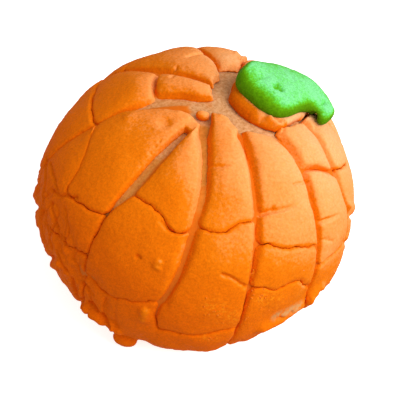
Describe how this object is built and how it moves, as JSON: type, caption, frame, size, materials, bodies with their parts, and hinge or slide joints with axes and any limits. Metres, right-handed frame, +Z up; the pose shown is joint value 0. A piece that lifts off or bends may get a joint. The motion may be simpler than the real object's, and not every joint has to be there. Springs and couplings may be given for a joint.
{
  "type": "concha sweet bread",
  "caption": "Round pumpkin-style sweet bun under a cracked orange sugar-paste coat cut into ribs from a bare hub, with a green paste leaf on top.",
  "frame": {"origin": "middle of the flat base, on the surface that the bun stands on", "axes": "+Z up from the base to the dome, -Y towards the front that the picture shows, +X to its right"},
  "size_m": [0.1081, 0.1097, 0.0696],
  "materials": {
    "dough": "baked sweet dough, tan crumb with a golden brown lower edge",
    "orange_paste": "matt baked sugar paste, fine sandy grain",
    "green_paste": "matt sandy sugar paste"
  },
  "bodies": {
    "root": {"dough": "dough", "forked_plate": "orange_paste", "hub_crumb": "orange_paste", "leaf": "green_paste", "leaf_seat": "orange_paste", "rib_01_plate_1": "orange_paste", "rib_01_plate_2": "orange_paste", "rib_01_plate_3": "orange_paste", "rib_01_plate_4": "orange_paste", "rib_02_plate_1": "orange_paste", "rib_02_plate_2": "orange_paste", "rib_03_plate_1": "orange_paste", "rib_04_plate_1": "orange_paste", "rib_04_plate_2": "orange_paste", "rib_05_plate_1": "orange_paste", "rib_05_plate_2": "orange_paste", "rib_05_plate_3": "orange_paste", "rib_06_plate_1": "orange_paste", "rib_06_plate_2": "orange_paste", "rib_06_plate_3": "orange_paste", "rib_07_plate_1": "orange_paste", "rib_07_plate_2": "orange_paste", "rib_07_plate_3": "orange_paste", "rib_08_plate_1": "orange_paste", "rib_08_plate_2": "orange_paste", "rib_08_plate_3": "orange_paste", "rib_09_plate_1": "orange_paste", "rib_09_plate_2": "orange_paste", "rib_09_plate_3": "orange_paste", "rib_10_plate_1": "orange_paste", "rib_10_plate_2": "orange_paste", "rib_10_plate_3": "orange_paste", "rib_11_plate_1": "orange_paste", "rib_11_plate_2": "orange_paste", "rib_11_plate_3": "orange_paste", "rim_strip": "orange_paste"}
  },
  "joints": []
}
